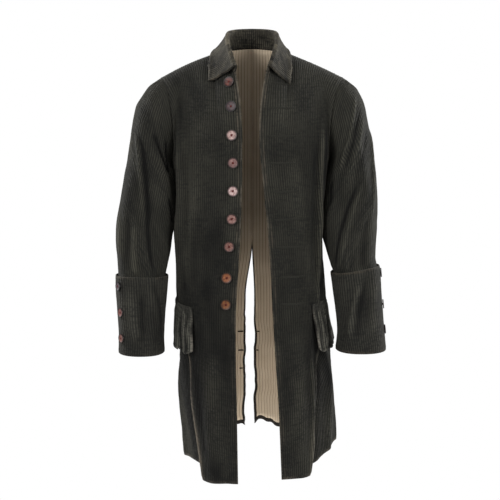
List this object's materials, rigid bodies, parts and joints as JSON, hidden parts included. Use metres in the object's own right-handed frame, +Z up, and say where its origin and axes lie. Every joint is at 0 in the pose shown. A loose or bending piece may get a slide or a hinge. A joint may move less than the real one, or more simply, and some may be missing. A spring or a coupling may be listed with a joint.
{
  "type": "frock coat",
  "caption": "Knee-length corduroy frock coat worn open, with a turned-down collar, deep turn-back cuffs, pocket flaps, a back vent and a striped lining.",
  "frame": {"origin": "middle of the neck opening, level with the tops of the shoulders at the neck: where a hanger or a wearer's neck holds the coat", "axes": "+Z up the wearer's neck, -Y out of the coat's front, +X to the wearer's left"},
  "size_m": [0.6306, 0.3488, 1.0408],
  "materials": {
    "corduroy": "dark charcoal-olive corduroy with upright ribs",
    "cuff_corduroy": "the same corduroy, turned back over the sleeve",
    "collar_corduroy": "worn corduroy, browner and lighter than the body",
    "striped_lining": "cream cotton with narrow brown stripes",
    "shell_button": "polished shell or horn, pink to red-brown",
    "cuff_button": "polished dark horn"
  },
  "bodies": {
    "root": {"front_right": "corduroy", "back_right": "corduroy", "sleeve_right": "corduroy", "pocket_flap_right": "corduroy", "cuff_right": "cuff_corduroy", "back_lining_right": "striped_lining", "front_left": "corduroy", "back_left": "corduroy", "sleeve_left": "corduroy", "pocket_flap_left": "corduroy", "cuff_left": "cuff_corduroy", "back_lining_left": "striped_lining", "collar": "collar_corduroy", "button_front_1": "shell_button", "button_front_2": "shell_button", "button_front_3": "shell_button", "button_front_4": "shell_button", "button_front_5": "shell_button", "button_front_6": "shell_button", "button_front_7": "shell_button", "button_front_8": "shell_button", "button_front_9": "shell_button", "button_cuff_right_1": "cuff_button", "button_cuff_right_2": "cuff_button", "button_cuff_right_3": "cuff_button", "button_cuff_left_1": "cuff_button", "button_cuff_left_2": "cuff_button", "button_cuff_left_3": "cuff_button"}
  },
  "joints": []
}
